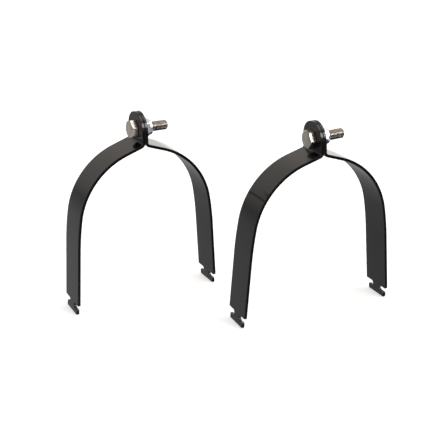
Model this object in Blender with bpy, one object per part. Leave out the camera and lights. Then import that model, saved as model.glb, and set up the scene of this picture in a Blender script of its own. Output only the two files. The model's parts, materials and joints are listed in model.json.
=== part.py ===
"""A pair of strap clamps with T-hook feet, in metres, +Z up.

Each clamp is two mirrored halves of bent flat bar. The halves meet at two round ears, held face to
face by a hex bolt and a lock nut with a nylon ring. The bolt runs along the clamp's X axis, and the
two legs end in T-hooks that stand on the floor. Clamp b stands beside and in front of clamp a,
turned a little. The origin is on the floor, below the middle of the pair.
"""

import math

import bmesh
import bpy
from mathutils import Matrix

# Strap: 35 mm flat bar.
STRAP_WIDTH = 0.035
STRAP_THICKNESS = 0.003
GAP = 0.0003  # kept between pieces that touch

# Side profile of one half, along the middle of the bar, from the bolt's axis down to the foot.
EAR_DROP = 0.0107  # bolt's axis to the start of the ear's bend
EAR_BEND_RADIUS = 0.0037
SHOULDER_SLOPE = 19.2  # degrees below level
SHOULDER_LENGTH = 0.0174
ARCH_RADIUS = 0.0763
ARCH_END_SLOPE = 80.7
EASE_RADIUS = 0.3273  # gentle curve between the arch and the leg
LEG_SLOPE = 86.5
LEG_LENGTH = 0.0598
FINEST_TURN = 3.5  # degrees of bend in each flat step of a curve

# T-hook at the foot.
SLOT_HEIGHT = 0.0055
NECK_WIDTH = 0.0108
BAR_WIDTH = 0.0274
BAR_HEIGHT = 0.0057
CORNER_RADIUS = 0.0010

# M10 hardware.
THREAD_RADIUS = 0.005
BOLT_HOLE_RADIUS = 0.0055
BOLT_LENGTH = 0.0342  # under the head
HEX_WIDTH = 0.017  # across the flats, head and nut
HEAD_HEIGHT = 0.0064
BOLT_CHAMFER = 0.0009
NUT_HEIGHT = 0.010  # with its collar
NUT_HEX_HEIGHT = 0.007
COLLAR_RADIUS = 0.0077
COLLAR_ROUNDING = 0.0012
LIP_RADIUS = 0.0060  # the collar's end, crimped in over the nylon ring
NYLON_RADIUS = 0.0066
NYLON_HEIGHT = 0.0017
NYLON_START = 0.0074  # from the nut's bearing face
ROUND_STEPS = 32

# Where each clamp stands, its turn about the vertical, its lean towards -Y, how far the ear bends of
# its left and right halves are opened past the profile above, and how high a corner of its bolt's
# head and of its nut stands above -Y. Angles in degrees.
CLAMP_A_PLACE = (-0.0720, 0.0600)
CLAMP_A_TURN = 0.0
CLAMP_A_LEAN = 0.9
CLAMP_A_OPENINGS = (0.0, 0.0)
CLAMP_A_HEAD_TURN = 21.0
CLAMP_A_NUT_TURN = -22.0
CLAMP_B_PLACE = (0.0665, -0.0533)
CLAMP_B_TURN = -4.7
CLAMP_B_LEAN = -1.0
CLAMP_B_OPENINGS = (5.1, -1.9)
CLAMP_B_HEAD_TURN = -2.0
CLAMP_B_NUT_TURN = 0.0

EAR_MIDDLE = (GAP + STRAP_THICKNESS) / 2  # of each ear, from the clamp's middle plane
EAR_FACE = GAP / 2 + STRAP_THICKNESS
BORE_RADIUS = THREAD_RADIUS + GAP

# name: (red, green, blue, metallic, roughness)
FINISHES = {
    "black_paint": (0.012, 0.012, 0.013, 0.0, 0.30),
    "plain_steel": (0.42, 0.39, 0.36, 1.0, 0.38),
    "zinc_plate": (0.72, 0.76, 0.80, 1.0, 0.25),
    "nylon": (0.75, 0.78, 0.82, 0.0, 0.45),
}


def clear_scene():
    for obj in list(bpy.data.objects):
        bpy.data.objects.remove(obj)


def finish(name):
    """The Principled material of that name, made the first time it is asked for."""
    material = bpy.data.materials.get(name)
    if material is None:
        red, green, blue, metallic, roughness = FINISHES[name]
        material = bpy.data.materials.new(name)
        material.use_nodes = True
        shader = material.node_tree.nodes["Principled BSDF"]
        shader.inputs["Base Color"].default_value = (red, green, blue, 1.0)
        shader.inputs["Metallic"].default_value = metallic
        shader.inputs["Roughness"].default_value = roughness
        material.diffuse_color = (red, green, blue, 1.0)
    return material


def new_object(name, bm, finish_name):
    mesh = bpy.data.meshes.new(name)
    bm.to_mesh(mesh)
    bm.free()
    mesh.materials.append(finish(finish_name))
    mesh.shade_smooth()
    mesh.set_sharp_from_angle(angle=math.radians(30))
    obj = bpy.data.objects.new(name, mesh)
    bpy.context.scene.collection.objects.link(obj)
    return obj


# Strap halves


def strap_stretches(opening=0.0):
    """(length, turn in radians) of each stretch of the profile, from the bolt's axis to the foot's end."""
    ear_turn = math.radians(90 - SHOULDER_SLOPE)
    arch_turn = math.radians(SHOULDER_SLOPE - ARCH_END_SLOPE)
    ease_turn = math.radians(ARCH_END_SLOPE - LEG_SLOPE)
    return [
        (EAR_DROP, 0.0),
        (EAR_BEND_RADIUS * ear_turn, ear_turn + math.radians(opening)),
        (SHOULDER_LENGTH, 0.0),
        (ARCH_RADIUS * -arch_turn, arch_turn),
        (EASE_RADIUS * -ease_turn, ease_turn),
        (LEG_LENGTH + SLOT_HEIGHT + BAR_HEIGHT, 0.0),
    ]


def on_profile(along, outward, opening):
    """(x, z) of a point that far along the strap and that far out from its middle. z is from the bolt's axis."""
    x, z, heading = EAR_MIDDLE, 0.0, math.radians(-90)
    left = along
    for length, turn in strap_stretches(opening):
        step = min(left, length)
        if turn:
            radius = length / turn
            after = heading + step / radius
            x += radius * (math.sin(after) - math.sin(heading))
            z -= radius * (math.cos(after) - math.cos(heading))
            heading = after
        else:
            x += step * math.cos(heading)
            z += step * math.sin(heading)
        left -= step
        if left <= 0:
            break
    return x - outward * math.sin(heading), z + outward * math.cos(heading)


def profile_length():
    return sum(length for length, turn in strap_stretches())


def lowest_corner(opening):
    """(x, z) of the inner edge of the foot's end, which stands on the floor."""
    return on_profile(profile_length(), -STRAP_THICKNESS / 2, opening)


def bend_stations():
    """The places along the strap where its flat steps meet."""
    stations, start = [], 0.0
    for length, turn in strap_stretches():
        if turn:
            steps = math.ceil(abs(math.degrees(turn)) / FINEST_TURN)
            stations += [start + length * i / steps for i in range(steps + 1)]
        start += length
    return stations


def arc(centre, radius, first, last, steps):
    """Points (across, along) on an arc, angles in degrees, from across towards along."""
    points = []
    for i in range(steps + 1):
        angle = math.radians(first + (last - first) * i / steps)
        points.append((centre[0] + radius * math.cos(angle), centre[1] + radius * math.sin(angle)))
    return points


def half_outline():
    """Points (across, along) of the blank's edge on one side, from the ear's top to the foot's end."""
    side, shoulder = STRAP_WIDTH / 2, profile_length() - BAR_HEIGHT - SLOT_HEIGHT
    slot_radius, bar_side, end = SLOT_HEIGHT / 2, BAR_WIDTH / 2, profile_length()
    bar_top, corner = end - BAR_HEIGHT, CORNER_RADIUS
    slot_end = (NECK_WIDTH / 2 + slot_radius, shoulder + slot_radius)
    return (
        arc((0, 0), side, -90, 0, 12)
        + arc((side - corner, shoulder - corner), corner, 0, 90, 2)
        + arc(slot_end, slot_radius, -90, -270, 8)
        + arc((bar_side - corner, bar_top + corner), corner, -90, 0, 2)
        + arc((bar_side - corner, end - corner), corner, 0, 90, 2)
    )


def prism(outline, low, high):
    """A closed bmesh from an outline of (x, y) points, between two heights."""
    bm = bmesh.new()
    corners = [bm.verts.new((x, y, low)) for x, y in outline]
    base = bm.faces.new(corners)
    grown = bmesh.ops.extrude_face_region(bm, geom=[base])
    top = [item for item in grown["geom"] if isinstance(item, bmesh.types.BMVert)]
    bmesh.ops.translate(bm, vec=(0, 0, high - low), verts=top)
    bmesh.ops.recalc_face_normals(bm, faces=bm.faces)
    return bm


def with_hole(name, bm, finish_name, radius):
    """The object with a round hole along its Z axis."""
    obj = new_object(name, bm, finish_name)
    hole = bmesh.new()
    bmesh.ops.create_cone(
        hole, cap_ends=True, segments=ROUND_STEPS, radius1=radius, radius2=radius, depth=10 * radius
    )
    cutter = new_object(name + "_cutter", hole, finish_name)
    cut = obj.modifiers.new("hole", "BOOLEAN")
    cut.operation = "DIFFERENCE"
    cut.object = cutter
    graph = bpy.context.evaluated_depsgraph_get()
    mesh = bpy.data.meshes.new_from_object(obj.evaluated_get(graph))
    obj.modifiers.clear()
    obj.data = mesh
    bpy.data.objects.remove(cutter)
    return obj


def strap_half(name, side, opening):
    """One half, bent. side is 1 for the half at +X, and -1 for its mirror image at -X."""
    right = half_outline()
    left = [(-across, along) for across, along in reversed(right[1:])]
    blank = prism(right + left, -STRAP_THICKNESS / 2, STRAP_THICKNESS / 2)
    obj = with_hole(name, blank, "black_paint", BOLT_HOLE_RADIUS)
    bm = bmesh.new()
    bm.from_mesh(obj.data)
    for station in bend_stations():
        bmesh.ops.bisect_plane(
            bm, geom=list(bm.verts) + list(bm.edges) + list(bm.faces), dist=1e-7,
            plane_co=(0, station, 0), plane_no=(0, 1, 0)
        )
    for vert in bm.verts:
        across, along, outward = vert.co
        x, z = on_profile(along, outward, opening)
        vert.co = (side * x, across, z)
    bmesh.ops.recalc_face_normals(bm, faces=bm.faces)
    bm.to_mesh(obj.data)
    bm.free()
    obj.data.shade_smooth()
    obj.data.set_sharp_from_angle(angle=math.radians(30))
    return obj


# Bolt, nut and nylon ring, each made up the Z axis and then laid along +X


def hexagon(width, turn):
    """A hexagon with one corner that many degrees above -Y, once it is laid along X."""
    return arc((0, 0), width / math.sqrt(3), -90 - turn, 210 - turn, 5)


def ring(radius, steps):
    return arc((0, 0), radius, 0, 360 - 360 / steps, steps - 1)


def lay_along_x(obj, start):
    """Turns a shape made up its Z axis from z = 0 to lie along +X from x = start."""
    obj.data.transform(Matrix.Translation((start, 0, 0)) @ Matrix.Rotation(math.radians(90), 4, "Y"))
    return obj


def chamfered_end(bm, height, by):
    """Draws in the corners at the end of a round bar, for its lead-in chamfer."""
    edges = [e for e in bm.edges if all(v.co.z > height - 1e-6 for v in e.verts)]
    bmesh.ops.bevel(bm, geom=edges, offset=by, segments=1, affect="EDGES")


def joined(name, bm, other, finish_name):
    """The object made of two shapes that overlap."""
    obj = new_object(name, bm, finish_name)
    added = new_object(name + "_added", other, finish_name)
    join = obj.modifiers.new("joined", "BOOLEAN")
    join.operation = "UNION"
    join.object = added
    graph = bpy.context.evaluated_depsgraph_get()
    mesh = bpy.data.meshes.new_from_object(obj.evaluated_get(graph))
    obj.modifiers.clear()
    obj.data = mesh
    bpy.data.objects.remove(added)
    return obj


def turned(profile):
    """A closed ring turned about Z from (radius, z) points that go round its section."""
    bm = bmesh.new()
    rings = []
    for step in range(ROUND_STEPS):
        angle = 2 * math.pi * step / ROUND_STEPS
        rings.append([bm.verts.new((r * math.cos(angle), r * math.sin(angle), z)) for r, z in profile])
    count = len(profile)
    for step in range(ROUND_STEPS):
        here, after = rings[step - 1], rings[step]
        for i in range(count):
            j = (i + 1) % count
            bm.faces.new((here[i], after[i], after[j], here[j]))
    bmesh.ops.recalc_face_normals(bm, faces=bm.faces)
    return bm


def bolt(name, turn):
    shank = prism(ring(THREAD_RADIUS, ROUND_STEPS), 0, HEAD_HEIGHT + BOLT_LENGTH)
    chamfered_end(shank, HEAD_HEIGHT + BOLT_LENGTH, BOLT_CHAMFER)
    head = prism(hexagon(HEX_WIDTH, turn), 0, HEAD_HEIGHT)
    return lay_along_x(joined(name, shank, head, "plain_steel"), -EAR_FACE - GAP - HEAD_HEIGHT)


def nut_start():
    return EAR_FACE + GAP


def nut(name, turn):
    """The nut, with its collar crimped over the groove that holds the nylon ring."""
    groove = NYLON_RADIUS + GAP
    groove_low, groove_high = NYLON_START - GAP, NYLON_START + NYLON_HEIGHT + GAP
    collar = turned(
        [(BORE_RADIUS, 0), (BORE_RADIUS, groove_low), (groove, groove_low), (groove, groove_high)]
        + [(LIP_RADIUS, groove_high), (LIP_RADIUS, NUT_HEIGHT)]
        + [(COLLAR_RADIUS - COLLAR_ROUNDING, NUT_HEIGHT), (COLLAR_RADIUS, NUT_HEIGHT - COLLAR_ROUNDING)]
        + [(COLLAR_RADIUS, 0)]
    )
    inside_collar = (BORE_RADIUS + COLLAR_RADIUS) / 2
    solid_hex = prism(hexagon(HEX_WIDTH, turn), 0, NUT_HEX_HEIGHT)
    hollow_hex = with_hole(name + "_hex", solid_hex, "zinc_plate", inside_collar)
    hex_shape = bmesh.new()
    hex_shape.from_mesh(hollow_hex.data)
    bpy.data.objects.remove(hollow_hex)
    return lay_along_x(joined(name, collar, hex_shape, "zinc_plate"), nut_start())


def nylon_ring(name):
    section = [
        (BORE_RADIUS, 0), (NYLON_RADIUS, 0), (NYLON_RADIUS, NYLON_HEIGHT), (BORE_RADIUS, NYLON_HEIGHT)
    ]
    return lay_along_x(new_object(name, turned(section), "nylon"), nut_start() + NYLON_START)


# Assembly


def standing(place, turn, lean):
    """The frame of a clamp that leans about the middle of its feet, lifted to stand on their corners."""
    lift = BAR_WIDTH / 2 * math.sin(math.radians(abs(lean)))
    spot = Matrix.Translation((place[0], place[1], lift))
    facing = Matrix.Rotation(math.radians(turn), 4, "Z")
    return spot @ facing @ Matrix.Rotation(math.radians(lean), 4, "X")


def over_feet(openings):
    """The bolt's frame from the middle of the feet, tipped until both feet are level."""
    (left_x, left_z), (right_x, right_z) = [lowest_corner(opening) for opening in openings]
    tip = math.atan2(right_z - left_z, right_x + left_x)
    back_to_middle = Matrix.Translation(((left_x - right_x) / 2, 0, -(left_z + right_z) / 2))
    return Matrix.Rotation(tip, 4, "Y") @ back_to_middle


def clamp(letter, place, turn, lean, openings, head_turn, nut_turn):
    """One whole clamp, whose pieces hang on an empty on its bolt's axis."""
    pieces = [
        strap_half("strap_left_" + letter, -1, openings[0]),
        strap_half("strap_right_" + letter, 1, openings[1]),
        bolt("bolt_" + letter, head_turn),
        nut("lock_nut_" + letter, nut_turn),
        nylon_ring("nylon_ring_" + letter),
    ]
    axis = bpy.data.objects.new("bolt_axis_" + letter, None)
    bpy.context.scene.collection.objects.link(axis)
    axis.matrix_world = standing(place, turn, lean) @ over_feet(openings)
    for piece in pieces:
        piece.parent = axis


clear_scene()
clamp(
    "a", CLAMP_A_PLACE, CLAMP_A_TURN, CLAMP_A_LEAN, CLAMP_A_OPENINGS, CLAMP_A_HEAD_TURN, CLAMP_A_NUT_TURN
)
clamp(
    "b", CLAMP_B_PLACE, CLAMP_B_TURN, CLAMP_B_LEAN, CLAMP_B_OPENINGS, CLAMP_B_HEAD_TURN, CLAMP_B_NUT_TURN
)
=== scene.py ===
"""The looks of a pair of strap clamps: fine meshes, finishes, studio and camera.

Each fine piece stands for one CAD node. It has that node's sizes, which are repeated here because
the frame holds only its faceted solids, and it rides on that node's body. Metres, +Z up.
"""

import json
import math

import bmesh
import bpy
from mathutils import Matrix, Vector


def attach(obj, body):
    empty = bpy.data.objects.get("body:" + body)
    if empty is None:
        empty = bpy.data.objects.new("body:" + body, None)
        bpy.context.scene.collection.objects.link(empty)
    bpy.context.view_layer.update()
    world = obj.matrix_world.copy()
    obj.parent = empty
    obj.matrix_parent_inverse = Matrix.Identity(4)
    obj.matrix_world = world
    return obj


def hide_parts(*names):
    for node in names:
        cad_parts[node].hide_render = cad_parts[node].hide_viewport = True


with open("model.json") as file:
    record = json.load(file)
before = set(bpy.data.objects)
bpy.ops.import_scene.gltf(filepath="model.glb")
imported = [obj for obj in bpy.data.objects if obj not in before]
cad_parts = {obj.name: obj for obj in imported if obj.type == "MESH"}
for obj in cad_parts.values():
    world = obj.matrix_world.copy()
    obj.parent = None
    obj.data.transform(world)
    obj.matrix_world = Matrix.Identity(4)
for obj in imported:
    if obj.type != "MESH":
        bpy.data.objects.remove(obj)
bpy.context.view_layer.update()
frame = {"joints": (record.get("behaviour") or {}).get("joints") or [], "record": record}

# Strap: 35 mm flat bar. The profile runs down the middle of the bar, from the bolt's axis.
STRAP_WIDTH = 0.035
STRAP_THICKNESS = 0.003
GAP = 0.0003  # kept between pieces that touch
EAR_DROP = 0.0107
EAR_BEND_RADIUS = 0.0037
SHOULDER_SLOPE = 19.2  # degrees below level
SHOULDER_LENGTH = 0.0174
ARCH_RADIUS = 0.0763
ARCH_END_SLOPE = 80.7
EASE_RADIUS = 0.3273
LEG_SLOPE = 86.5
LEG_LENGTH = 0.0598
# Degrees that the ear's bend is opened past the profile, on the left (-1) and the right half (1).
EAR_OPENING = {"a": {-1: 0.0, 1: 0.0}, "b": {-1: 5.1, 1: -1.9}}
LARGEST_TURN = 2.5  # degrees of bend in one flat step of a curve
LONGEST_STEP = 0.0015  # length of one flat step of a curve

# T-hook at the foot.
SLOT_HEIGHT = 0.0055
NECK_WIDTH = 0.0108
BAR_WIDTH = 0.0274
BAR_HEIGHT = 0.0057
CORNER_RADIUS = 0.0010
EDGE_ROUNDING = 0.0004  # the paint rounds the bar's edges
BOLT_HOLE_RADIUS = 0.0055
SHARP_ANGLE = 38  # degrees between two faces, past which the edge between them isn't shaded smooth

# M10 bolt and lock nut.
THREAD_RADIUS = 0.005
THREAD_PITCH = 0.0015
THREAD_DEPTH = 0.00092
THREAD_START = 0.003  # plain length under the head
# One turn of the thread: (place along it as a share of the pitch, depth as a share of the full depth).
THREAD_SHAPE = [(0.0, 0.0), (0.125, 0.0), (0.43, 0.92), (0.5, 1.0), (0.625, 1.0), (0.695, 0.92)]
BOLT_LENGTH = 0.0342
TIP_CHAMFER = 0.0010
HEX_WIDTH = 0.017  # across the flats
HEX_CORNER_RADIUS = 0.00965  # the corners are worn back to this
HEX_FACE_RADIUS = 0.0080  # the round face that the chamfer leaves
HEX_CHAMFER = 30  # degrees from the face
HEAD_HEIGHT = 0.0064
HEAD_EDGE = 0.0002  # chamfer of the edge round the head's underside
HEAD_FILLET = 0.0003  # between the head and the shank
NUT_HEIGHT = 0.010
NUT_HEX_HEIGHT = 0.007
NUT_BORE_CHAMFER = 0.0006
COLLAR_RADIUS = 0.0077
COLLAR_ROUNDING = 0.0012
COLLAR_FOOT = 0.0002  # rise of the nut's outer face towards the collar
LIP_RADIUS = 0.0060  # the collar's end, crimped in over the nylon ring
LIP_EDGE = 0.0001
BORE_RADIUS = THREAD_RADIUS + GAP
NYLON_RADIUS = 0.0066
NYLON_START = 0.0074
NYLON_HEIGHT = 0.0017
NYLON_EDGE = 0.0002
HEAD_TURN = {"a": 21.0, "b": -2.0}  # degrees that a corner stands above -Y
NUT_TURN = {"a": -22.0, "b": 0.0}

EAR_MIDDLE = (GAP + STRAP_THICKNESS) / 2
EAR_FACE = GAP / 2 + STRAP_THICKNESS

# Camera, towards a point in front of and between the clamps.
CAMERA_AZIMUTH = -28.995
CAMERA_ELEVATION = 21.884
CAMERA_DISTANCE = 0.777101
CAMERA_TARGET = (-0.051165, -0.073214, 0.127291)
CAMERA_LENS = 70.188  # mm
CAMERA_SENSOR = 36  # mm

# Studio. A panel is (azimuth clockwise from +Y, elevation, half angle of its full core, half angle out
# to the end of its soft edge, colour, strength), with the angles in degrees. A panel takes the place of
# the room and the panels before it. A strength near zero makes it a black flag, which keeps light off.
BACKGROUND = (1.0, 1.0, 1.0)
FLOOR_HALF_WIDTH = 8.0
FLOOR_GLOW = 0.55  # light given off by the floor, as a share of white
ROOM = [  # (height, colour), from 0 straight down, past 0.5 at the horizon, to 1 straight up
    (0.00, (0.37, 0.37, 0.38)),
    (0.42, (0.385, 0.39, 0.395)),
    (0.52, (0.29, 0.29, 0.29)),
    (0.60, (0.60, 0.565, 0.54)),
    (0.72, (0.76, 0.71, 0.67)),
]
PANELS = [
    (36, 4, 10, 30, (1.00, 0.96, 0.93), 1.35),
    (150, -19, 11, 16, (1.00, 1.00, 1.00), 0.02),
    (152, 27, 8, 16, (1.00, 0.99, 0.97), 7.0),
    (105, 62, 10, 24, (1.00, 1.00, 1.00), 2.2),
    (-135, 50, 22, 45, (1.00, 0.97, 0.94), 0.35),
    (150, -54, 15, 22, (0.97, 0.99, 1.00), 2.0),
]


# Pieces


def body_of(node):
    bodies = frame["record"]["behaviour"]["bodies"]
    return next(body for body, nodes in bodies.items() if node in nodes)


def clamp_frame(letter):
    """The clamp's own frame: at the middle of its bolt's axis, X along the bolt and Z up the clamp."""
    swing = next(joint for joint in frame["joints"] if joint["name"] == "swing_" + letter)
    mounts = {mount["name"]: Vector(mount["pos_m"]) for mount in frame["record"]["mounts"]}
    between_feet = (mounts["foot_left_" + letter] + mounts["foot_right_" + letter]) / 2
    middle = Vector(swing["pos_m"])
    x_axis = Vector(swing["axis"]).normalized()
    y_axis = (middle - between_feet).cross(x_axis).normalized()
    turned = Matrix((x_axis, y_axis, x_axis.cross(y_axis))).transposed().to_4x4()
    return Matrix.Translation(middle) @ turned


def add_piece(node, letter, bm, material):
    """Makes a fine piece from a bmesh in the clamp's own frame, in the place of a CAD node."""
    bmesh.ops.recalc_face_normals(bm, faces=bm.faces)
    mesh = bpy.data.meshes.new(node + "_fine")
    bm.to_mesh(mesh)
    bm.free()
    mesh.materials.append(material)
    mesh.shade_smooth()
    mesh.set_sharp_from_angle(angle=math.radians(SHARP_ANGLE))
    piece = bpy.data.objects.new(node + "_fine", mesh)
    bpy.context.scene.collection.objects.link(piece)
    piece.matrix_world = clamp_frame(letter)
    normals = piece.modifiers.new("flat_faces_stay_flat", "WEIGHTED_NORMAL")
    normals.keep_sharp = True
    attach(piece, body_of(node))
    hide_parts(node)
    return piece


# Strap halves


def strap_stretches(opening):
    """(length, turn in radians) of each stretch of the profile, from the bolt's axis to the foot's end."""
    ear_turn = math.radians(90 - SHOULDER_SLOPE)
    arch_turn = math.radians(SHOULDER_SLOPE - ARCH_END_SLOPE)
    ease_turn = math.radians(ARCH_END_SLOPE - LEG_SLOPE)
    return [
        (EAR_DROP, 0.0),
        (EAR_BEND_RADIUS * ear_turn, ear_turn + math.radians(opening)),
        (SHOULDER_LENGTH, 0.0),
        (ARCH_RADIUS * -arch_turn, arch_turn),
        (EASE_RADIUS * -ease_turn, ease_turn),
        (LEG_LENGTH + SLOT_HEIGHT + BAR_HEIGHT, 0.0),
    ]


STRAP_END = sum(length for length, turn in strap_stretches(0.0))


def on_profile(along, outward, opening):
    """(x, z) of a point that far along the strap and that far out from its middle."""
    x, z, heading = EAR_MIDDLE, 0.0, math.radians(-90)
    left = along
    for length, turn in strap_stretches(opening):
        step = min(left, length)
        if turn:
            radius = length / turn
            after = heading + step / radius
            x += radius * (math.sin(after) - math.sin(heading))
            z -= radius * (math.cos(after) - math.cos(heading))
            heading = after
        else:
            x += step * math.cos(heading)
            z += step * math.sin(heading)
        left -= step
        if left <= 0:
            break
    return x - outward * math.sin(heading), z + outward * math.cos(heading)


def bend_stations():
    """The places along the strap where its flat steps meet."""
    stations, start = [], 0.0
    for length, turn in strap_stretches(0.0):
        if turn:
            by_turn = math.ceil(abs(math.degrees(turn)) / LARGEST_TURN)
            steps = max(by_turn, math.ceil(length / LONGEST_STEP))
            stations += [start + length * i / steps for i in range(steps + 1)]
        start += length
    return stations


def arc(centre, radius, first, last, steps):
    """Points (across, along) on an arc, angles in degrees, from across towards along."""
    points = []
    for i in range(steps + 1):
        angle = math.radians(first + (last - first) * i / steps)
        points.append((centre[0] + radius * math.cos(angle), centre[1] + radius * math.sin(angle)))
    return points


def half_blank():
    """The outline of one side of the flat blank: round the ear, down to the T-hook, back up the middle."""
    side, shoulder = STRAP_WIDTH / 2, STRAP_END - BAR_HEIGHT - SLOT_HEIGHT
    slot_radius, bar_side, corner = SLOT_HEIGHT / 2, BAR_WIDTH / 2, CORNER_RADIUS
    bar_top = STRAP_END - BAR_HEIGHT
    slot_end = (NECK_WIDTH / 2 + slot_radius, shoulder + slot_radius)
    return (
        arc((0, 0), side, -90, 0, 40)
        + arc((side - corner, shoulder - corner), corner, 0, 90, 6)
        + arc(slot_end, slot_radius, -90, -270, 18)
        + arc((bar_side - corner, bar_top + corner), corner, -90, 0, 6)
        + arc((bar_side - corner, STRAP_END - corner), corner, 0, 90, 6)
        + [(0, STRAP_END)]
        + arc((0, 0), BOLT_HOLE_RADIUS, 90, -90, 24)
    )


def flat_blank():
    """The blank as a closed bmesh, lying flat, with its edges rounded."""
    bm = bmesh.new()
    for mirror in (1, -1):
        bm.faces.new([bm.verts.new((mirror * x, y, -STRAP_THICKNESS / 2)) for x, y in half_blank()])
    bmesh.ops.remove_doubles(bm, verts=bm.verts, dist=1e-6)
    grown = bmesh.ops.extrude_face_region(bm, geom=list(bm.faces))
    top = [item for item in grown["geom"] if isinstance(item, bmesh.types.BMVert)]
    bmesh.ops.translate(bm, vec=(0, 0, STRAP_THICKNESS), verts=top)
    bmesh.ops.recalc_face_normals(bm, faces=bm.faces)
    rims = []
    for edge in bm.edges:
        level = abs(edge.verts[0].co.z - edge.verts[1].co.z) < 1e-6
        if level and edge.calc_face_angle(0) > math.radians(80):
            rims.append(edge)
    bmesh.ops.bevel(bm, geom=rims, offset=EDGE_ROUNDING, segments=3, profile=0.5, affect="EDGES")
    return bm


def strap_half(letter, side, material):
    """One half, bent from its blank. side is 1 for the right half, and -1 for its mirror image."""
    bm = flat_blank()
    for station in bend_stations():
        everything = list(bm.verts) + list(bm.edges) + list(bm.faces)
        at, along_strap = (0, station, 0), (0, 1, 0)
        bmesh.ops.bisect_plane(bm, geom=everything, dist=1e-7, plane_co=at, plane_no=along_strap)
    on_blank = bm.loops.layers.uv.new("blank")
    for face in bm.faces:
        for loop in face.loops:
            loop[on_blank].uv = loop.vert.co.xy
    for vert in bm.verts:
        across, along, outward = vert.co
        x, z = on_profile(along, outward, EAR_OPENING[letter][side])
        vert.co = (side * x, across, z)
    node = ("strap_right_" if side == 1 else "strap_left_") + letter
    return add_piece(node, letter, bm, material)


# Bolt, nut and nylon ring


def hex_columns(turn):
    """Angles round a hexagon with a corner that many degrees above -Y, and the hexagon's radius there."""
    apothem = HEX_WIDTH / 2
    reach = math.acos(apothem / HEX_CORNER_RADIUS)
    steps = 11
    columns = []
    for facet in range(6):
        middle = math.radians(60 * facet - turn)
        for i in range(steps + 1):
            off = reach * (2 * i / steps - 1)
            columns.append((middle + off, apothem / math.cos(off)))
        columns.append((middle + math.radians(30), HEX_CORNER_RADIUS))
    columns.append((columns[0][0] + 2 * math.pi, columns[0][1]))
    return columns


def turned(columns, profile, closed):
    """A bmesh turned about Z. profile(angle, hex_radius) gives the (radius, height) points of a column.

    A closed profile makes a ring, and an open one is capped at both ends.
    """
    bm = bmesh.new()
    made = []
    for angle, hex_radius in columns:
        points = profile(angle, hex_radius)
        made.append([bm.verts.new((r * math.cos(angle), r * math.sin(angle), h)) for r, h in points])
    rows = len(made[0])
    for here, after in zip(made, made[1:]):
        for i in range(rows if closed else rows - 1):
            j = (i + 1) % rows
            bm.faces.new((here[i], here[j], after[j], after[i]))
    bmesh.ops.remove_doubles(bm, verts=bm.verts, dist=1e-6)
    open_edges = [edge for edge in bm.edges if edge.is_boundary]
    if open_edges:
        bmesh.ops.holes_fill(bm, edges=open_edges, sides=0)
    return bm


def lay_along_x(bm, start):
    """Turns a shape made up the Z axis to lie along +X from x = start, its +X side to -Z."""
    bm.transform(Matrix.Translation((start, 0, 0)) @ Matrix.Rotation(math.radians(90), 4, "Y"))
    return bm


def thread_points(angle, start, end):
    """(radius, height) down one side of a right-hand thread, between two heights."""
    points = []
    turns = math.ceil((end - start) / THREAD_PITCH)
    for turn in range(-1, turns + 1):
        for phase, depth in THREAD_SHAPE:
            height = start + THREAD_PITCH * (turn + phase + angle / (2 * math.pi) % 1.0)
            height = min(max(height, start), end)
            fade = min(1.0, (height - start) / THREAD_PITCH)
            radius = THREAD_RADIUS - THREAD_DEPTH * depth * fade
            points.append((min(radius, THREAD_RADIUS - TIP_CHAMFER + end - height), height))
    return points


def bolt(letter, material):
    """Hex bolt, made from the face of its head to its tip."""
    slope = math.tan(math.radians(HEX_CHAMFER))
    under = HEAD_HEIGHT
    tip = HEAD_HEIGHT + BOLT_LENGTH

    def profile(angle, hex_radius):
        return [
            (HEX_FACE_RADIUS, 0.0),
            (hex_radius, slope * (hex_radius - HEX_FACE_RADIUS)),
            (hex_radius, under - HEAD_EDGE),
            (hex_radius - HEAD_EDGE, under),
            (THREAD_RADIUS + HEAD_FILLET, under),
            (THREAD_RADIUS, under + HEAD_FILLET),
        ] + thread_points(angle, under + THREAD_START, tip)

    bm = turned(hex_columns(HEAD_TURN[letter]), profile, closed=False)
    lay_along_x(bm, -EAR_FACE - GAP - HEAD_HEIGHT)
    return add_piece("bolt_" + letter, letter, bm, material)


def lock_nut(letter, material):
    """Hex nut with a round collar, whose lip holds the nylon ring. Made from its bearing face out."""
    slope = math.tan(math.radians(HEX_CHAMFER))
    groove = NYLON_RADIUS + GAP
    groove_low = NYLON_START - GAP
    groove_high = NYLON_START + NYLON_HEIGHT + GAP
    dome_centre = (COLLAR_RADIUS - COLLAR_ROUNDING, NUT_HEIGHT - COLLAR_ROUNDING)
    dome = arc(dome_centre, COLLAR_ROUNDING, 0, 90, 8)

    def profile(angle, hex_radius):
        drop = slope * (hex_radius - HEX_FACE_RADIUS)
        return [
            (BORE_RADIUS, NUT_BORE_CHAMFER),
            (BORE_RADIUS + NUT_BORE_CHAMFER, 0.0),
            (HEX_FACE_RADIUS, 0.0),
            (hex_radius, drop),
            (hex_radius, NUT_HEX_HEIGHT - drop),
            (HEX_FACE_RADIUS, NUT_HEX_HEIGHT),
            (COLLAR_RADIUS, NUT_HEX_HEIGHT + COLLAR_FOOT),
            *dome,
            (LIP_RADIUS + LIP_EDGE, NUT_HEIGHT),
            (LIP_RADIUS, NUT_HEIGHT - LIP_EDGE),
            (LIP_RADIUS, groove_high),
            (groove, groove_high),
            (groove, groove_low),
            (BORE_RADIUS, groove_low),
        ]

    bm = turned(hex_columns(NUT_TURN[letter]), profile, closed=True)
    lay_along_x(bm, EAR_FACE + GAP)
    return add_piece("lock_nut_" + letter, letter, bm, material)


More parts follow.
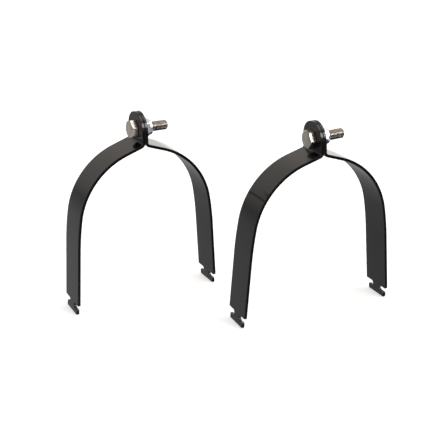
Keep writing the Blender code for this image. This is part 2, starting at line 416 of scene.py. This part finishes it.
def nylon_ring(letter, material):
    """Round ring with chamfered edges. The columns give it only their angles."""

    def profile(angle, hex_radius):
        return [
            (BORE_RADIUS, NYLON_EDGE),
            (BORE_RADIUS + NYLON_EDGE, 0.0),
            (NYLON_RADIUS - NYLON_EDGE, 0.0),
            (NYLON_RADIUS, NYLON_EDGE),
            (NYLON_RADIUS, NYLON_HEIGHT - NYLON_EDGE),
            (NYLON_RADIUS - NYLON_EDGE, NYLON_HEIGHT),
            (BORE_RADIUS + NYLON_EDGE, NYLON_HEIGHT),
            (BORE_RADIUS, NYLON_HEIGHT - NYLON_EDGE),
        ]

    bm = turned(hex_columns(0.0), profile, closed=True)
    lay_along_x(bm, EAR_FACE + GAP + NYLON_START)
    return add_piece("nylon_ring_" + letter, letter, bm, material)


# Finishes

# A Mix node's colour sockets, by number, because its other sockets have the same names.
MIX_FIRST, MIX_SECOND, MIX_RESULT = 6, 7, 2


class Shader:
    """A Principled material whose nodes are added one call at a time."""

    def __init__(self, name, **constants):
        self.material = bpy.data.materials.new(name)
        self.material.use_nodes = True
        self.tree = self.material.node_tree
        self.surface = self.tree.nodes["Principled BSDF"]
        self.coords = self.tree.nodes.new("ShaderNodeTexCoord")
        for socket, value in constants.items():
            self.surface.inputs[socket.replace("_", " ")].default_value = value

    def link(self, source, target):
        self.tree.links.new(source, target)

    def here(self):
        """The piece's own coordinates, in metres."""
        return self.coords.outputs["Object"]

    def stretched(self, source, scale):
        """Coordinates scaled by (x, y, z)."""
        node = self.tree.nodes.new("ShaderNodeMapping")
        node.inputs["Scale"].default_value = scale
        self.link(self.coords.outputs[source], node.inputs["Vector"])
        return node.outputs["Vector"]

    def noise(self, vector, scale, detail=3.0, roughness=0.55):
        node = self.tree.nodes.new("ShaderNodeTexNoise")
        node.inputs["Scale"].default_value = scale
        node.inputs["Detail"].default_value = detail
        node.inputs["Roughness"].default_value = roughness
        self.link(vector, node.inputs["Vector"])
        return node.outputs["Fac"]

    def ramp(self, value, *stops):
        """A colour ramp through (position, colour) stops, where a colour may be one grey number."""
        node = self.tree.nodes.new("ShaderNodeValToRGB")
        band = node.color_ramp
        while len(band.elements) < len(stops):
            band.elements.new(0.5)
        for element, (position, colour) in zip(band.elements, stops):
            element.position = position
            rgb = (colour,) * 3 if isinstance(colour, float) else colour
            element.color = (*rgb, 1.0)
        self.link(value, node.inputs["Fac"])
        return node.outputs["Color"]

    def mix(self, share, first, second, blend="MIX"):
        node = self.tree.nodes.new("ShaderNodeMix")
        node.data_type = "RGBA"
        node.blend_type = blend
        if isinstance(share, float):
            node.inputs["Factor"].default_value = share
        else:
            self.link(share, node.inputs["Factor"])
        self.link(first, node.inputs[MIX_FIRST])
        self.link(second, node.inputs[MIX_SECOND])
        return node.outputs[MIX_RESULT]

    def bump(self, height, distance, strength, under=None):
        node = self.tree.nodes.new("ShaderNodeBump")
        node.inputs["Distance"].default_value = distance
        node.inputs["Strength"].default_value = strength
        self.link(height, node.inputs["Height"])
        if under is not None:
            self.link(under, node.inputs["Normal"])
        return node.outputs["Normal"]

    def from_axis(self):
        """The distance from the bolt's axis, which is the piece's own X axis."""
        node = self.tree.nodes.new("ShaderNodeVectorMath")
        node.operation = "LENGTH"
        self.link(self.stretched("Object", (0.0, 1.0, 1.0)), node.inputs[0])
        return node.outputs["Value"]

    def along_axis(self):
        """The distance along the bolt's axis, from the middle of the ears."""
        node = self.tree.nodes.new("ShaderNodeSeparateXYZ")
        self.link(self.here(), node.inputs["Vector"])
        return node.outputs["X"]

    def between(self, value, low, high):
        """0 to 1 as value goes from low to high."""
        node = self.tree.nodes.new("ShaderNodeMapRange")
        node.interpolation_type = "SMOOTHSTEP"
        node.inputs["From Min"].default_value = low
        node.inputs["From Max"].default_value = high
        self.link(value, node.inputs["Value"])
        return node.outputs["Result"]

    def set(self, socket, value):
        self.link(value, self.surface.inputs[socket])


def black_paint():
    """Smooth semi-gloss black powder coat: soft orange peel, faint drawn marks along the bar."""
    paint = Shader("black_powder_coat", Metallic=0.0, IOR=1.5)
    peel = paint.noise(paint.here(), scale=420.0, detail=2.0)
    haze = paint.noise(paint.here(), scale=34.0)
    along_bar = paint.stretched("UV", (1.0, 0.06, 1.0))
    marks = paint.noise(along_bar, scale=1500.0, roughness=0.7)
    black = paint.ramp(haze, (0.3, (0.0030, 0.0029, 0.0030)), (0.7, (0.0052, 0.0050, 0.0050)))
    paint.set("Base Color", black)
    soft = paint.ramp(haze, (0.25, 0.10), (0.75, 0.17))
    drawn = paint.ramp(marks, (0.55, 0.0), (0.80, 0.06))
    paint.set("Roughness", paint.mix(1.0, soft, drawn, "ADD"))
    paint.set("Normal", paint.bump(peel, distance=0.00002, strength=0.35))
    return paint.material


def plain_steel():
    """Dull plain steel of the bolt: mottled warm grey, with shade painted darker down in the thread's
    roots.
    """
    steel = Shader("plain_bolt_steel", Metallic=1.0)
    mottle = steel.noise(steel.here(), scale=260.0, detail=5.0, roughness=0.62)
    brushed = steel.stretched("Object", (1.0, 1.0, 0.18))
    grain = steel.noise(brushed, scale=2600.0, detail=4.0, roughness=0.6)
    dark, middle, light = (0.56, 0.50, 0.44), (0.72, 0.65, 0.58), (0.84, 0.78, 0.71)
    bare = steel.ramp(mottle, (0.30, dark), (0.52, middle), (0.72, light))
    streaked = steel.mix(0.35, bare, steel.ramp(grain, (0.3, 0.28), (0.7, 0.72)), "OVERLAY")
    # Painted shade: past the ear's face, the colour goes dark down the thread's flanks into its roots,
    # where shade falls in the grooves.
    root, crest = THREAD_RADIUS - THREAD_DEPTH, THREAD_RADIUS - 0.0001
    up_thread = steel.between(steel.from_axis(), root, crest)
    painted_root_shade = steel.ramp(up_thread, (0.0, (0.16, 0.15, 0.14)), (1.0, (0.86, 0.88, 0.88)))
    shaded_in_roots = steel.mix(1.0, streaked, painted_root_shade, "MULTIPLY")
    on_thread = steel.between(steel.along_axis(), EAR_FACE, EAR_FACE + 0.0002)
    steel.set("Base Color", steel.mix(on_thread, streaked, shaded_in_roots))
    steel.set("Roughness", steel.ramp(mottle, (0.3, 0.34), (0.7, 0.22)))
    dents = steel.bump(mottle, distance=0.00008, strength=0.5)
    steel.set("Normal", steel.bump(grain, distance=0.00002, strength=0.4, under=dents))
    return steel.material


def zinc_plate():
    """Bright zinc plate of the nut: bluish white, lightly clouded."""
    zinc = Shader("bright_zinc_plate", Metallic=1.0)
    cloud = zinc.noise(zinc.here(), scale=330.0, detail=4.0, roughness=0.6)
    fine = zinc.noise(zinc.here(), scale=3000.0, roughness=0.5)
    dull, middle, bright = (0.56, 0.60, 0.65), (0.76, 0.80, 0.85), (0.88, 0.90, 0.93)
    zinc.set("Base Color", zinc.ramp(cloud, (0.28, dull), (0.5, middle), (0.75, bright)))
    zinc.set("Roughness", zinc.ramp(cloud, (0.3, 0.36), (0.7, 0.24)))
    dents = zinc.bump(cloud, distance=0.00005, strength=0.4)
    zinc.set("Normal", zinc.bump(fine, distance=0.00001, strength=0.4, under=dents))
    return zinc.material


def nylon():
    """Milky nylon of the lock ring."""
    plastic = Shader("milky_nylon", Metallic=0.0, IOR=1.53, Subsurface_Weight=0.25, Subsurface_Scale=0.001)
    cloud = plastic.noise(plastic.here(), scale=500.0)
    plastic.set("Base Color", plastic.ramp(cloud, (0.3, (0.66, 0.68, 0.70)), (0.7, (0.80, 0.82, 0.84))))
    plastic.set("Roughness", plastic.ramp(cloud, (0.3, 0.38), (0.7, 0.52)))
    plastic.set("Normal", plastic.bump(cloud, distance=0.00003, strength=0.4))
    return plastic.material


# Studio and camera


def towards(azimuth, elevation):
    """The direction at an azimuth clockwise from +Y and an elevation, in degrees."""
    turn, lift = math.radians(azimuth), math.radians(elevation)
    return Vector((math.sin(turn) * math.cos(lift), math.cos(turn) * math.cos(lift), math.sin(lift)))


def room_light(tree, direction):
    """The room's colour, which changes only with the height of the direction."""
    parts = tree.nodes.new("ShaderNodeSeparateXYZ")
    tree.links.new(direction, parts.inputs["Vector"])
    height = tree.nodes.new("ShaderNodeMapRange")
    height.inputs["From Min"].default_value = -1.0
    tree.links.new(parts.outputs["Z"], height.inputs["Value"])
    room = tree.nodes.new("ShaderNodeValToRGB")
    tree.links.new(height.outputs["Result"], room.inputs["Fac"])
    band = room.color_ramp.elements
    while len(band) < len(ROOM):
        band.new(0.5)
    for element, (position, colour) in zip(band, ROOM):
        element.position = position
        element.color = (*colour, 1)
    return room.outputs["Color"]


def add_panel(tree, direction, light, azimuth, elevation, core, edge, colour, strength):
    """The light so far, with a round panel laid over it."""
    facing = tree.nodes.new("ShaderNodeVectorMath")
    facing.operation = "DOT_PRODUCT"
    facing.inputs[1].default_value = towards(azimuth, elevation)
    tree.links.new(direction, facing.inputs[0])
    share = tree.nodes.new("ShaderNodeMapRange")
    share.interpolation_type = "SMOOTHSTEP"
    share.inputs["From Min"].default_value = math.cos(math.radians(edge))
    share.inputs["From Max"].default_value = math.cos(math.radians(core))
    tree.links.new(facing.outputs["Value"], share.inputs["Value"])
    mix = tree.nodes.new("ShaderNodeMix")
    mix.data_type = "RGBA"
    tree.links.new(share.outputs["Result"], mix.inputs["Factor"])
    tree.links.new(light, mix.inputs[MIX_FIRST])
    mix.inputs[MIX_SECOND].default_value = (*[strength * c for c in colour], 1)
    return mix.outputs[MIX_RESULT]


def add_studio():
    """The room and its panels light the object and show in it. The camera sees plain white."""
    world = bpy.data.worlds.new("studio")
    world.use_nodes = True
    bpy.context.scene.world = world
    tree = world.node_tree
    tree.nodes.clear()
    direction = tree.nodes.new("ShaderNodeTexCoord").outputs["Generated"]
    light = room_light(tree, direction)
    for panel in PANELS:
        light = add_panel(tree, direction, light, *panel)
    lit = tree.nodes.new("ShaderNodeBackground")
    tree.links.new(light, lit.inputs["Color"])
    seen = tree.nodes.new("ShaderNodeBackground")
    seen.inputs["Color"].default_value = (*BACKGROUND, 1)
    path = tree.nodes.new("ShaderNodeLightPath")
    pick = tree.nodes.new("ShaderNodeMixShader")
    tree.links.new(path.outputs["Is Camera Ray"], pick.inputs["Fac"])
    tree.links.new(lit.outputs[0], pick.inputs[1])
    tree.links.new(seen.outputs[0], pick.inputs[2])
    tree.links.new(pick.outputs[0], tree.nodes.new("ShaderNodeOutputWorld").inputs["Surface"])
    bpy.context.scene.view_settings.view_transform = "Standard"


def add_floor():
    """A plain white floor, lit a little from within like a light table, and left out of reflections."""
    bm = bmesh.new()
    bmesh.ops.create_grid(bm, x_segments=1, y_segments=1, size=FLOOR_HALF_WIDTH)
    mesh = bpy.data.meshes.new("floor")
    bm.to_mesh(mesh)
    bm.free()
    floor = bpy.data.objects.new("floor", mesh)
    bpy.context.scene.collection.objects.link(floor)
    material = bpy.data.materials.new("white_floor")
    material.use_nodes = True
    surface = material.node_tree.nodes["Principled BSDF"]
    surface.inputs["Base Color"].default_value = (0.85, 0.85, 0.85, 1)
    surface.inputs["Roughness"].default_value = 0.9
    surface.inputs["Emission Color"].default_value = (1, 1, 1, 1)
    surface.inputs["Emission Strength"].default_value = FLOOR_GLOW
    mesh.materials.append(material)
    floor.visible_glossy = False


def add_camera():
    camera = bpy.data.objects.new("camera", bpy.data.cameras.new("camera"))
    bpy.context.scene.collection.objects.link(camera)
    back = towards(180 - CAMERA_AZIMUTH, CAMERA_ELEVATION)
    camera.location = Vector(CAMERA_TARGET) + CAMERA_DISTANCE * back
    camera.rotation_euler = back.to_track_quat("Z", "Y").to_euler()
    camera.data.sensor_width = CAMERA_SENSOR
    camera.data.lens = CAMERA_LENS
    bpy.context.scene.camera = camera


paint, steel, zinc, milky = black_paint(), plain_steel(), zinc_plate(), nylon()
for letter in "ab":
    for side in (-1, 1):
        strap_half(letter, side, paint)
    bolt(letter, steel)
    lock_nut(letter, zinc)
    nylon_ring(letter, milky)
add_floor()
add_studio()
add_camera()
